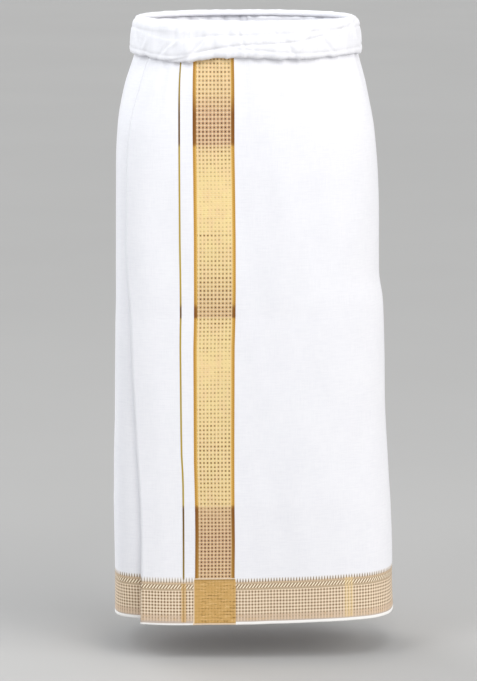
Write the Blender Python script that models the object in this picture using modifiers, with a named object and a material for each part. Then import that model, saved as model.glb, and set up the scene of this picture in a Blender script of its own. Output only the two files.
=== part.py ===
"""A white double dhoti as worn: one long cloth wound round the hips and rolled at the waist.

Metres, +Z up. The front of the garment faces -Y. The origin is the middle of the waist, where
the rolled top holds the cloth. The cloth is wound anticlockwise, seen from above: it starts at
the free edge at the left of the front, goes over the front, the right side, the back and the
left side, and then runs on under its own first turn.
"""
import math

import bmesh
import bpy
from mathutils import Vector

# Heights of the worn cloth
TOP_Z = 0.010
HEM_Z = -0.9205
BORDER_HEIGHT = 0.077

# The wall, and how far each turn lies inside the one over it
WALL = 0.0015
SEAM_GAP = 0.0003
TURN_INSET_TOP = 0.0024
TURN_INSET_HEM = 0.0070

# Near the hem the front of the inner turn leans back, towards the legs
LEAN_TOP = -0.780
LEAN_AT_HEM = 0.0140

# The zari band on the outer end, upright from waist to hem
BAND_MIDDLE_X = -0.0490
BAND_WIDTH = 0.0620

# Directions are in degrees from +X, anticlockwise from above, and run on past 360
START = 215.0
RIGHT_SEAM = 325.0
BACK_SEAM = 395.0
LEFT_SEAM = 505.0
TURN = 360.0
END = 809.0

# Level sections round the cloth: half breadths to the left and right, half depths to the front
# and back, and how square the front left, front right and back corners are (2 is an ellipse)
SECTIONS = (
    # height, left, right, front, back, square_left, square_right, square_back
    (0.020, 0.1650, 0.1640, 0.1160, 0.1180, 2.2, 2.2, 2.2),
    (-0.030, 0.1715, 0.1700, 0.1190, 0.1230, 2.3, 2.2, 2.2),
    (-0.090, 0.1910, 0.1870, 0.1240, 0.1320, 2.9, 2.4, 2.3),
    (-0.155, 0.2032, 0.2005, 0.1260, 0.1370, 3.8, 2.6, 2.3),
    (-0.265, 0.2055, 0.2070, 0.1260, 0.1340, 5.0, 2.7, 2.4),
    (-0.375, 0.2067, 0.2096, 0.1255, 0.1290, 5.5, 2.8, 2.5),
    (-0.415, 0.2072, 0.2150, 0.1255, 0.1280, 5.6, 2.8, 2.5),
    (-0.510, 0.2096, 0.2174, 0.1250, 0.1260, 5.8, 2.8, 2.5),
    (-0.615, 0.2108, 0.2192, 0.1250, 0.1260, 6.0, 2.9, 2.5),
    (-0.715, 0.2134, 0.2252, 0.1250, 0.1270, 6.0, 3.0, 2.5),
    (-0.815, 0.2130, 0.2295, 0.1250, 0.1280, 6.0, 3.1, 2.5),
    (-0.930, 0.2140, 0.2340, 0.1250, 0.1290, 6.0, 3.3, 2.5),
)

# The hem is lowest at the front left and rises a little with each turn inwards
HEM_LINE = (
    # direction, height
    (215.0, -0.9205),
    (235.0, -0.9203),
    (276.0, -0.9192),
    (304.0, -0.9172),
    (324.0, -0.9163),
    (345.0, -0.9168),
    (505.0, -0.9170),
    (575.0, -0.9152),
    (809.0, -0.9145),
)

# Where the free edge of the outer end lies across the front
FREE_EDGE = (
    # height, across
    (0.020, -0.1300),
    (-0.080, -0.1640),
    (-0.155, -0.1812),
    (-0.300, -0.1855),
    (-0.440, -0.1790),
    (-0.520, -0.1767),
    (-0.580, -0.1739),
    (-0.640, -0.1708),
    (-0.730, -0.1655),
    (-0.800, -0.1640),
    (-0.930, -0.1658),
)

# Soft upright folds: each starts at its top height and is deepest at the hem
FOLDS = (
    # direction, half_width, depth_at_hem, top
    (6.0, 12.0, 0.0060, -0.420),
    (32.0, 12.0, 0.0085, -0.300),
    (54.0, 11.0, -0.0075, -0.260),
    (76.0, 12.0, 0.0115, -0.200),
    (100.0, 12.0, -0.0080, -0.240),
    (124.0, 12.0, 0.0105, -0.210),
    (156.0, 12.0, 0.0065, -0.380),
    (343.0, 8.0, 0.0030, -0.560),
)

# The rolled top, as an outline across the ring: how far out of the cloth's face, and the height
ROLL_OUTLINE = (
    # out, height
    (0.0006, -0.0320),
    (0.0032, -0.0360),
    (0.0068, -0.0350),
    (0.0093, -0.0285),
    (0.0102, -0.0150),
    (0.0099, 0.0020),
    (0.0082, 0.0125),
    (0.0035, 0.0190),
    (-0.0030, 0.0190),
    (-0.0064, 0.0150),
    (-0.0062, 0.0108),
    (-0.0045, 0.0103),
    (0.0006, 0.0103),
)

# Where the roll swells: most at the tuck that holds the outer end, over the front left
ROLL_SWELLS = (
    # direction, half_width, thicker, lower
    (224.0, 15.0, 0.45, 0.0080),
    (300.0, 22.0, 0.14, 0.0025),
    (20.0, 20.0, -0.08, -0.0015),
    (92.0, 26.0, 0.16, 0.0035),
    (158.0, 20.0, -0.05, -0.0010),
)
FULLY_LOWERED_OUT = 0.0030

# How finely the cloth is divided: a column for each step along it or turn of its direction
STEP_ALONG = 0.030
STEP_TURNED = math.radians(17.0)
ROW_STEP = 0.060

COTTON = {"colour": (0.90, 0.90, 0.915), "roughness": 0.85, "metallic": 0.0}
ZARI = {"colour": (0.62, 0.42, 0.15), "roughness": 0.45, "metallic": 0.55}


def read_table(table, place_in_it):
    """A table's other columns at a value of its first, on a smooth curve through its rows."""
    rows = sorted(table)
    wanted = min(max(place_in_it, rows[0][0]), rows[-1][0])
    below = max(i for i in range(len(rows) - 1) if rows[i][0] <= wanted)
    low, high = rows[below], rows[below + 1]
    before = rows[max(below - 1, 0)]
    after = rows[min(below + 2, len(rows) - 1)]
    span = high[0] - low[0]
    t = (wanted - low[0]) / span
    values = []
    for a, b, c, d in zip(before[1:], low[1:], high[1:], after[1:]):
        slope_low = (c - a) / (high[0] - before[0]) * span
        slope_high = (d - b) / (after[0] - low[0]) * span
        values.append(
            b * (2 * t**3 - 3 * t**2 + 1)
            + c * (3 * t**2 - 2 * t**3)
            + slope_low * (t**3 - 2 * t**2 + t)
            + slope_high * (t**3 - t**2)
        )
    return values


def fold_depth(direction, height):
    """How far the folds push the cloth out at a direction and height."""
    depth = 0.0
    for middle, half_width, at_hem, top in FOLDS:
        away = (direction - middle + 180.0) % 360.0 - 180.0
        fall = min(max((top - height) / (top - HEM_Z), 0.0), 1.0)
        depth += at_hem * fall**1.5 * math.exp(-((away / half_width) ** 2))
    return depth


def reach(direction, height, inset=0.0, lean=0.0):
    """Distance from the upright axis to the cloth's outer face, set in and leant back."""
    left, right, front, back, square_left, square_right, square_back = read_table(SECTIONS, height)
    angle = math.radians(direction)
    across, along = math.cos(angle), math.sin(angle)
    breadth = (right if across > 0.0 else left) - inset
    depth = (back if along > 0.0 else front - lean) - inset
    if along > 0.0:
        square = square_back
    else:
        square = square_right if across > 0.0 else square_left
    total = (abs(across) / breadth) ** square + (abs(along) / depth) ** square
    return total ** (-1.0 / square) + fold_depth(direction, height)


def turn_inset(direction, height):
    """How far inside the first turn the cloth lies at a direction and height."""
    down = (TOP_Z - height) / (TOP_Z - HEM_Z)
    a_turn = TURN_INSET_TOP + (TURN_INSET_HEM - TURN_INSET_TOP) * down
    return a_turn * (direction - START) / TURN


def inner_lean(direction, height):
    """How far the front of the inner turn leans back: it is past the left side by then."""
    if direction < 1.5 * TURN:
        return 0.0
    return LEAN_AT_HEM * max((LEAN_TOP - height) / (LEAN_TOP - HEM_Z), 0.0) ** 2


def place(direction, distance, height):
    """A point at a distance from the upright axis."""
    angle = math.radians(direction)
    return Vector((distance * math.cos(angle), distance * math.sin(angle), height))


def worn(direction, height):
    """A point on the outer face of the worn cloth."""
    inset, lean = turn_inset(direction, height), inner_lean(direction, height)
    return place(direction, reach(direction, height, inset, lean), height)


def direction_across(x, height):
    """The direction, over the front, at which the cloth lies at x."""
    low, high = 180.0, 360.0
    for _ in range(40):
        middle = (low + high) / 2.0
        if worn(middle, height).x < x:
            low = middle
        else:
            high = middle
    return (low + high) / 2.0


def columns_between(start, end):
    """Directions from start to end, closer together where the hem turns a corner."""
    fine = 200
    angles = [start + (end - start) * i / fine for i in range(fine + 1)]
    points = [worn(angle, HEM_Z) for angle in angles]
    steps = [b - a for a, b in zip(points, points[1:])]
    measure = [0.0]
    for i, step in enumerate(steps):
        turned = step.angle(steps[i - 1]) if i else 0.0
        measure.append(measure[-1] + step.length / STEP_ALONG + turned / STEP_TURNED)
    count = max(round(measure[-1]), 1)
    columns = []
    for k in range(count + 1):
        wanted = measure[-1] * k / count
        i = max(j for j in range(fine) if measure[j] <= wanted + 1e-9)
        share = (wanted - measure[i]) / (measure[i + 1] - measure[i])
        columns.append(angles[i] + (angles[i + 1] - angles[i]) * share)
    return columns


def columns_through(*stops):
    """Columns from the first stop to the last, with one at each stop."""
    columns = []
    for start, end in zip(stops, stops[1:]):
        columns += columns_between(start, end)[:-1]
    return columns + [stops[-1]]


def row_fractions():
    """Rows as shares of the cloth's height, with one at the border's top and one at the roll."""
    tall = TOP_Z - HEM_Z
    border = BORDER_HEIGHT / tall
    roll = 1.0 - (TOP_Z - ROLL_OUTLINE[0][1]) / tall
    count = round((roll - border) * tall / ROW_STEP)
    plain = [border + (roll - border) * i / count for i in range(count + 1)]
    return [0.0, border / 2.0] + plain + [1.0]


def free_edge_direction(height):
    """The direction of the outer end's free edge at a height."""
    return direction_across(read_table(FREE_EDGE, height)[0], height)


def fabric(name, look):
    """A cloth finish from its colour, roughness and metallic value."""
    material = bpy.data.materials.new(name)
    material.use_nodes = True
    shader = material.node_tree.nodes["Principled BSDF"]
    shader.inputs["Base Color"].default_value = (*look["colour"], 1.0)
    shader.inputs["Roughness"].default_value = look["roughness"]
    shader.inputs["Metallic"].default_value = look["metallic"]
    material.diffuse_color = (*look["colour"], 1.0)
    return material


def keep(bm, name, collection, looks):
    """Turn a finished mesh into an object of the part."""
    mesh = bpy.data.meshes.new(name)
    bm.to_mesh(mesh)
    bm.free()
    mesh.shade_smooth()
    for suffix, look in looks:
        mesh.materials.append(fabric(f"{name}_{suffix}", look))
    thing = bpy.data.objects.new(name, mesh)
    collection.objects.link(thing)
    return thing


def hang_stretch(name, columns, collection, has_free_edge=False):
    """One stretch of the cloth: a flat grid, wound on its sections and given its thickness."""
    rows = row_fractions()
    last_column, last_row = len(columns) - 1, len(rows) - 1
    bm = bmesh.new()
    bmesh.ops.create_grid(bm, x_segments=last_column, y_segments=last_row, size=0.5)
    for vertex in bm.verts:
        column = round((vertex.co.x + 0.5) * last_column)
        row = round((vertex.co.y + 0.5) * last_row)
        direction = columns[column]
        hem = read_table(HEM_LINE, direction)[0]
        height = hem + (TOP_Z - hem) * rows[row]
        if has_free_edge:
            shift = free_edge_direction(height) - START
            direction += shift * (1.0 - column / last_column) ** 4
        half_gap = math.degrees(SEAM_GAP / 2.0 / reach(direction, height))
        if column == 0 and not has_free_edge:
            direction += half_gap
        if column == last_column:
            direction -= half_gap
        vertex.co = worn(direction, height)
    band_left = BAND_MIDDLE_X - BAND_WIDTH / 2.0
    band_right = BAND_MIDDLE_X + BAND_WIDTH / 2.0
    border_top = HEM_LINE[-1][1] + BORDER_HEIGHT
    for face in bm.faces:
        middle = face.calc_center_median()
        in_border = middle.z < border_top
        in_band = has_free_edge and band_left < middle.x < band_right
        face.material_index = 1 if in_border or in_band else 0
    thing = keep(bm, name, collection, (("cotton", COTTON), ("zari", ZARI)))
    wall = thing.modifiers.new("wall", "SOLIDIFY")
    wall.thickness = WALL
    wall.offset = -1.0
    wall.use_quality_normals = True
    return thing


def swollen(direction, out, height):
    """A point of the roll's outline where the roll swells or thins."""
    thicker, lower = 0.0, 0.0
    for middle, half_width, more, down in ROLL_SWELLS:
        away = (direction - middle + 180.0) % 360.0 - 180.0
        share = math.exp(-((away / half_width) ** 2))
        thicker += more * share
        lower += down * share
    if out > 0.0:
        out *= 1.0 + thicker
    if height < 0.0:
        height -= lower * min(out / FULLY_LOWERED_OUT, 1.0)
    return out, height


def roll_top(name, columns, collection):
    """The rolled waist: its outline carried once round the cloth and closed on itself."""
    last_column, last_row = len(columns) - 1, len(ROLL_OUTLINE)
    bm = bmesh.new()
    bmesh.ops.create_grid(bm, x_segments=last_column, y_segments=last_row, size=0.5)
    for vertex in bm.verts:
        direction = columns[round((vertex.co.x + 0.5) * last_column)]
        point = ROLL_OUTLINE[round((vertex.co.y + 0.5) * last_row) % last_row]
        out, height = swollen(direction, *point)
        vertex.co = place(direction, reach(direction, height) + out, height)
    bmesh.ops.remove_doubles(bm, verts=bm.verts, dist=0.00005)
    bmesh.ops.recalc_face_normals(bm, faces=bm.faces)
    return keep(bm, name, collection, (("cotton", COTTON),))


def build_dhoti():
    """Every stretch of the wound cloth, from the free edge inwards, and the rolled top."""
    for thing in list(bpy.data.objects):
        bpy.data.objects.remove(thing, do_unlink=True)
    collection = bpy.data.collections.new("dhoti")
    bpy.context.scene.collection.children.link(collection)
    band_left = direction_across(BAND_MIDDLE_X - BAND_WIDTH / 2.0, HEM_Z)
    band_right = direction_across(BAND_MIDDLE_X + BAND_WIDTH / 2.0, HEM_Z)
    front = columns_through(START, band_left, band_right, RIGHT_SEAM)
    right = columns_between(RIGHT_SEAM, BACK_SEAM)
    back = columns_between(BACK_SEAM, LEFT_SEAM)
    left = columns_between(LEFT_SEAM, START + TURN)
    back_to_end = [direction for direction in back if direction < END - TURN] + [END - TURN]
    hang_stretch("front_outer", front, collection, has_free_edge=True)
    hang_stretch("right_outer", right, collection)
    hang_stretch("back_outer", back, collection)
    hang_stretch("left_side", left, collection)
    hang_stretch("front_inner", [direction + TURN for direction in front], collection)
    hang_stretch("right_inner", [direction + TURN for direction in right], collection)
    hang_stretch("back_inner", [direction + TURN for direction in back_to_end], collection)
    roll_top("waist_roll", front + right[1:] + back[1:] + left[1:], collection)


build_dhoti()
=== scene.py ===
import math

import bpy
import numpy as np
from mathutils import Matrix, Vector


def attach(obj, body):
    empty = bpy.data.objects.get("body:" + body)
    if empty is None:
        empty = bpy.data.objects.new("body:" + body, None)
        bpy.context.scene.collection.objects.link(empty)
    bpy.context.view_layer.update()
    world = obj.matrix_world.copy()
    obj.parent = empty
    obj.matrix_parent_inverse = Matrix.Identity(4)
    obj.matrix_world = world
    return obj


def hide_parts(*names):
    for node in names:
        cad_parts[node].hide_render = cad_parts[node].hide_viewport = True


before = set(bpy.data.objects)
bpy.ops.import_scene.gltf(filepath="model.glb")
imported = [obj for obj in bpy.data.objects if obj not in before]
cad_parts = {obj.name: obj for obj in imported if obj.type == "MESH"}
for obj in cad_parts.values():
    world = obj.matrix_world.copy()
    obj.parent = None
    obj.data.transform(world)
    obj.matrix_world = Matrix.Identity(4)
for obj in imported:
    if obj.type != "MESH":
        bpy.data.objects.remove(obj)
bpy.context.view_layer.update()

# A white double dhoti as worn. The cloth is one sheet, wound anticlockwise, seen from above, from
# its free edge at the front left, and its top is rolled down into the waist roll. Metres and
# degrees, +Z up, the front faces -Y. The tables down to ROLL_SWELLS repeat the sizes of the
# solids, and the free edge has a row more, where it bows out.

# The hanging cloth
TOP_Z = 0.010
HEM_Z = -0.9205
TURN_INSET_TOP = 0.0024
TURN_INSET_HEM = 0.0070
LEAN_TOP = -0.780
LEAN_AT_HEM = 0.0140
LEAN_FROM = 540.0
BAND_MIDDLE_X = -0.0490
START = 215.0
RIGHT_SEAM = 325.0
TURN = 360.0
END = 809.0

SECTIONS = (
    # height, left, right, front, back, square_left, square_right, square_back
    (0.020, 0.1650, 0.1640, 0.1160, 0.1180, 2.2, 2.2, 2.2),
    (-0.030, 0.1715, 0.1700, 0.1190, 0.1230, 2.3, 2.2, 2.2),
    (-0.090, 0.1910, 0.1870, 0.1240, 0.1320, 2.9, 2.4, 2.3),
    (-0.155, 0.2032, 0.2005, 0.1260, 0.1370, 3.8, 2.6, 2.3),
    (-0.265, 0.2055, 0.2070, 0.1260, 0.1340, 5.0, 2.7, 2.4),
    (-0.375, 0.2067, 0.2096, 0.1255, 0.1290, 5.5, 2.8, 2.5),
    (-0.415, 0.2072, 0.2150, 0.1255, 0.1280, 5.6, 2.8, 2.5),
    (-0.510, 0.2096, 0.2174, 0.1250, 0.1260, 5.8, 2.8, 2.5),
    (-0.615, 0.2108, 0.2192, 0.1250, 0.1260, 6.0, 2.9, 2.5),
    (-0.715, 0.2134, 0.2252, 0.1250, 0.1270, 6.0, 3.0, 2.5),
    (-0.815, 0.2130, 0.2295, 0.1250, 0.1280, 6.0, 3.1, 2.5),
    (-0.930, 0.2140, 0.2340, 0.1250, 0.1290, 6.0, 3.3, 2.5),
)

HEM_LINE = (
    # direction, height
    (215.0, -0.9205),
    (235.0, -0.9203),
    (276.0, -0.9192),
    (304.0, -0.9172),
    (324.0, -0.9163),
    (345.0, -0.9168),
    (505.0, -0.9170),
    (575.0, -0.9152),
    (809.0, -0.9145),
)

FREE_EDGE = (
    # height, across
    (0.020, -0.1300),
    (-0.080, -0.1640),
    (-0.155, -0.1812),
    (-0.300, -0.1862),
    (-0.350, -0.1862),
    (-0.440, -0.1790),
    (-0.520, -0.1767),
    (-0.580, -0.1739),
    (-0.640, -0.1708),
    (-0.730, -0.1655),
    (-0.800, -0.1640),
    (-0.930, -0.1658),
)

FOLDS = (
    # direction, half_width, depth_at_hem, top
    (6.0, 12.0, 0.0060, -0.420),
    (32.0, 12.0, 0.0085, -0.300),
    (54.0, 11.0, -0.0075, -0.260),
    (76.0, 12.0, 0.0115, -0.200),
    (100.0, 12.0, -0.0080, -0.240),
    (124.0, 12.0, 0.0105, -0.210),
    (156.0, 12.0, 0.0065, -0.380),
    (343.0, 8.0, 0.0030, -0.560),
)

ROLL_OUTLINE = (
    # out, height
    (0.0006, -0.0320),
    (0.0032, -0.0360),
    (0.0068, -0.0350),
    (0.0093, -0.0285),
    (0.0102, -0.0150),
    (0.0099, 0.0020),
    (0.0082, 0.0125),
    (0.0035, 0.0190),
    (-0.0030, 0.0190),
    (-0.0064, 0.0150),
    (-0.0062, 0.0108),
    (-0.0045, 0.0103),
    (0.0006, 0.0103),
)

ROLL_SWELLS = (
    # direction, half_width, thicker, lower
    (224.0, 15.0, 0.45, 0.0080),
    (300.0, 22.0, 0.14, 0.0025),
    (20.0, 20.0, -0.08, -0.0015),
    (92.0, 26.0, 0.16, 0.0035),
    (158.0, 20.0, -0.05, -0.0010),
)
FULLY_LOWERED_OUT = 0.0030

# What the solids leave out. Tucks run down from the roll, each to its own reach
TUCKS = (
    # direction, half_width, rise, reach, lean
    (208.0, 1.7, 0.0018, 0.060, -14.0),
    (216.0, 1.6, 0.0025, 0.085, -6.0),
    (222.5, 1.4, 0.0030, 0.110, 6.0),
    (228.0, 1.5, 0.0032, 0.095, 26.0),
    (234.0, 1.8, 0.0028, 0.120, 44.0),
    (241.0, 1.9, 0.0022, 0.085, 58.0),
    (250.0, 2.3, 0.0019, 0.070, 50.0),
    (261.0, 2.6, 0.0015, 0.055, 34.0),
    (273.0, 2.2, 0.0018, 0.075, 20.0),
    (283.0, 2.6, 0.0014, 0.050, 12.0),
    (296.0, 2.3, 0.0023, 0.090, 8.0),
    (307.0, 2.0, 0.0019, 0.065, -6.0),
    (319.0, 2.4, 0.0024, 0.105, -10.0),
    (331.0, 2.6, 0.0019, 0.080, -4.0),
    (345.0, 3.0, 0.0023, 0.132, 4.0),
    (357.0, 2.8, 0.0017, 0.099, 8.0),
    (11.0, 3.0, 0.0025, 0.149, 6.0),
    (23.0, 2.5, 0.0025, 0.115, -4.0),
    (36.0, 2.4, 0.0035, 0.169, -8.0),
    (48.0, 2.0, 0.0026, 0.101, 4.0),
    (60.0, 2.2, 0.0036, 0.189, 8.0),
    (71.0, 2.0, 0.0026, 0.121, -6.0),
    (83.0, 2.3, 0.0040, 0.203, -2.0),
    (95.0, 2.1, 0.0030, 0.135, 6.0),
    (107.0, 2.2, 0.0036, 0.182, 8.0),
    (118.0, 2.0, 0.0026, 0.108, -6.0),
    (130.0, 2.3, 0.0033, 0.162, -8.0),
    (142.0, 2.4, 0.0025, 0.121, 4.0),
    (155.0, 2.8, 0.0031, 0.176, 6.0),
    (168.0, 2.8, 0.0023, 0.115, -4.0),
    (182.0, 3.0, 0.0022, 0.121, -8.0),
    (196.0, 2.2, 0.0018, 0.088, -10.0),
)

# Long soft troughs and ridges. Each swells in below its top and out above its foot, and leans
DRAPES = (
    # direction, half_width, rise, top, foot, lean
    (232.0, 5.0, 0.0008, -0.090, -0.420, 10.0),
    (268.0, 9.0, -0.0010, -0.060, -0.400, -14.0),
    (292.0, 8.0, 0.0012, -0.120, -0.520, 10.0),
    (310.0, 6.0, -0.0010, -0.160, -0.470, 12.0),
    (286.0, 12.0, -0.0009, -0.450, -0.820, 16.0),
    (305.0, 7.0, 0.0009, -0.500, -1.100, -8.0),
    (322.0, 5.0, 0.0013, -0.180, -0.420, 6.0),
    (328.0, 5.0, -0.0016, -0.480, -0.780, 8.0),
    (336.0, 4.0, 0.0016, -0.540, -1.200, -5.0),
    (352.0, 5.0, 0.0006, -0.300, -1.200, 6.0),
    (350.0, 7.0, 0.0012, -0.760, -1.200, 0.0),
    (8.0, 10.0, -0.0050, -0.740, -1.200, 0.0),
    (6.0, 3.4, -0.0026, -0.170, -0.640, 7.0),
    (14.0, 4.4, 0.0028, -0.160, -0.640, 10.0),
    (22.0, 4.0, -0.0036, -0.380, -1.200, -6.0),
    (33.0, 3.6, 0.0030, -0.150, -0.760, 9.0),
    (45.0, 4.6, 0.0046, -0.330, -1.200, 7.0),
    (50.0, 3.0, -0.0034, -0.080, -0.520, 12.0),
    (62.0, 3.6, -0.0050, -0.200, -0.980, -10.0),
    (70.0, 3.8, 0.0044, -0.400, -1.200, -6.0),
    (81.0, 3.0, 0.0036, -0.070, -0.560, 8.0),
    (88.0, 4.4, -0.0056, -0.250, -1.200, 6.0),
    (97.0, 3.4, 0.0040, -0.110, -0.620, 11.0),
    (111.0, 4.2, 0.0048, -0.340, -1.200, -8.0),
    (118.0, 3.6, -0.0044, -0.140, -0.820, 10.0),
    (128.0, 3.2, 0.0032, -0.090, -0.480, -7.0),
    (136.0, 4.2, -0.0048, -0.290, -1.200, 5.0),
    (147.0, 4.4, 0.0038, -0.220, -0.980, -8.0),
    (158.0, 3.4, -0.0030, -0.120, -0.560, 9.0),
    (167.0, 5.0, -0.0026, -0.420, -1.200, 6.0),
    (174.0, 3.6, 0.0020, -0.160, -0.600, -6.0),
    (182.0, 3.6, -0.0018, -0.120, -0.640, 4.0),
    (190.0, 5.0, -0.0012, -0.300, -0.760, 6.0),
)

# Pressed lines left by the folding of the new cloth: one sinks and one stands, round the cloth
PRESSED_LINES = (
    # height, rise, half_height
    (-0.4346, -0.0010, 0.032),
    (-0.7282, 0.0010, 0.040),
    (-0.2100, 0.0005, 0.030),
)
PRESSED_AT_SIDES = 0.35
PRESSED_ROUNDING = 0.0045

# How the two sides ease out and draw in on their way down, a crease's depth at most
SIDE_EASE = (
    # height, right, left
    (-0.180, 0.0003, -0.0007),
    (-0.240, 0.0008, -0.0005),
    (-0.300, 0.0006, -0.0012),
    (-0.360, -0.0002, -0.0002),
    (-0.395, -0.0014, 0.0004),
    (-0.430, 0.0006, 0.0015),
    (-0.490, 0.0017, 0.0013),
    (-0.520, 0.0021, 0.0006),
    (-0.580, 0.0020, 0.0007),
    (-0.650, 0.0014, 0.0010),
    (-0.710, 0.0009, -0.0008),
    (-0.740, 0.0015, -0.0001),
    (-0.775, 0.0021, 0.0004),
    (-0.805, 0.0023, 0.0009),
    (-0.835, 0.0018, 0.0008),
    (-0.875, 0.0002, 0.0007),
    (-0.930, 0.0000, 0.0006),
)
EASE_WIDTH = 26.0

# Slow swellings of the starched cloth, as waves round it and up it
SLOW_WAVES = (
    # waves_a_turn, waves_a_metre, shift, rise
    (7.0, 2.3, 0.4, 0.00035),
    (11.0, -3.1, 1.9, 0.00028),
    (17.0, 4.7, 3.3, 0.00018),
    (23.0, -7.3, 5.2, 0.00012),
)

# The outer end lies down on the turn beneath it
SETTLING_WIDTH = 9.0
SETTLING_AT_TOP = 0.0012
SETTLING_AT_HEM = 0.0030

# How far a drape takes to swell in and to die out, how much a tuck widens on its way down, how
# fast the folds open, and how fast the columns of the sheet leave the lean of the free edge
DRAPE_SWELLS_IN = 0.18
DRAPE_DIES_OUT = 0.16
TUCK_WIDENING = 0.8
TUCK_WIDEST_AT = 1.5
FOLD_OPENING = 1.5
LEAVES_EDGE = 4

# The sheet's wall and selvedge, and how finely it is divided
CLOTH_WALL = 0.0009
SELVEDGE_HEIGHT = 0.0042
SELVEDGE_RISE = 0.00035
COLUMN_STEP = 0.0043
HIDDEN_COLUMN_STEP = 0.013
HIDDEN_FROM = 590.0
FINE_STEPS = 2000
HALVINGS = 40
ROW_STOPS = (
    # height above the hem, how many rows up to it
    (0.0065, 5),
    (0.0750, 10),
    (0.1780, 12),
    (0.2020, 8),
    (0.4710, 28),
    (0.4950, 8),
    (0.7600, 29),
    (0.9285, 38),
)


def smooth_between(start, end, slope_start, slope_end, t):
    """The smooth curve with these ends and slopes, a share t of the way along."""
    return (
        start * (2 * t**3 - 3 * t**2 + 1)
        + end * (3 * t**2 - 2 * t**3)
        + slope_start * (t**3 - 2 * t**2 + t)
        + slope_end * (t**3 - t**2)
    )


def read_table(table, at):
    """A table's other columns at values of its first, on smooth curves through its rows."""
    rows = np.array(sorted(table))
    first, rest = rows[:, 0], rows[:, 1:]
    at = np.clip(at, first[0], first[-1])
    low = np.clip(np.searchsorted(first, at, side="right") - 1, 0, len(first) - 2)
    high = low + 1
    before = np.maximum(low - 1, 0)
    after = np.minimum(low + 2, len(first) - 1)
    span = (first[high] - first[low])[..., None]
    t = (at - first[low])[..., None] / span
    slope_low = (rest[high] - rest[before]) / (first[high] - first[before])[..., None] * span
    slope_high = (rest[after] - rest[low]) / (first[after] - first[low])[..., None] * span
    values = smooth_between(rest[low], rest[high], slope_low, slope_high, t)
    return np.moveaxis(values, -1, 0)


def turned_from(direction, middle):
    """How many degrees a direction lies from a middle, either way round."""
    return (direction - middle + 180.0) % 360.0 - 180.0


def bump(away, half_width):
    """A soft bell, 1 in its middle."""
    return np.exp(-((away / half_width) ** 2))


def eased(value):
    """0 below 0, 1 above 1, and a soft step between."""
    value = np.clip(value, 0.0, 1.0)
    return value * value * (3.0 - 2.0 * value)


def reach(direction, height, inset=0.0, lean=0.0):
    """Distance from the upright axis to the solids' outer face."""
    sections = read_table(SECTIONS, height)
    left, right, front, back, square_left, square_right, square_back = sections
    across, along = np.cos(np.radians(direction)), np.sin(np.radians(direction))
    breadth = np.where(across > 0.0, right, left) - inset
    depth = np.where(along > 0.0, back, front - lean) - inset
    square = np.where(across > 0.0, square_right, square_left)
    square = np.where(along > 0.0, square_back, square)
    total = (np.abs(across) / breadth) ** square + (np.abs(along) / depth) ** square
    distance = total ** (-1.0 / square)
    for middle, half_width, at_hem, top in FOLDS:
        fall = np.clip((top - height) / (top - HEM_Z), 0.0, 1.0)
        away = turned_from(direction, middle)
        distance = distance + at_hem * fall**FOLD_OPENING * bump(away, half_width)
    return distance


def worn(direction, height):
    """Points on the outer face of the solids, with x, y and z on the last axis."""
    down = (TOP_Z - height) / (TOP_Z - HEM_Z)
    a_turn = TURN_INSET_TOP + (TURN_INSET_HEM - TURN_INSET_TOP) * down
    inset = a_turn * (direction - START) / TURN
    leant = LEAN_AT_HEM * np.clip((LEAN_TOP - height) / (LEAN_TOP - HEM_Z), 0.0, None) ** 2
    lean = np.where(direction < LEAN_FROM, 0.0, leant)
    distance = reach(direction, height, inset, lean)
    angle = np.radians(direction)
    return np.stack([distance * np.cos(angle), distance * np.sin(angle), height], axis=-1)


def direction_across(x, height):
    """The directions, over the front, at which the cloth lies at x."""
    low, high = np.full(np.shape(height), 180.0), np.full(np.shape(height), 360.0)
    for _ in range(HALVINGS):
        middle = (low + high) / 2.0
        short = worn(middle, height)[..., 0] < x
        low, high = np.where(short, middle, low), np.where(short, high, middle)
    return (low + high) / 2.0


def lengths_along(points, axis):
    """How far along its row or column each point of a grid lies."""
    steps = np.linalg.norm(np.diff(points, axis=axis), axis=-1)
    zero = np.zeros_like(np.take(steps, [0], axis=axis))
    return np.concatenate([zero, np.cumsum(steps, axis=axis)], axis=axis)


def outward(points):
    """The outward unit normals of a grid whose rows go up and whose columns go anticlockwise."""
    up, along = np.gradient(points, axis=0), np.gradient(points, axis=1)
    normal = np.cross(along, up)
    return normal / np.linalg.norm(normal, axis=-1, keepdims=True)


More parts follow.
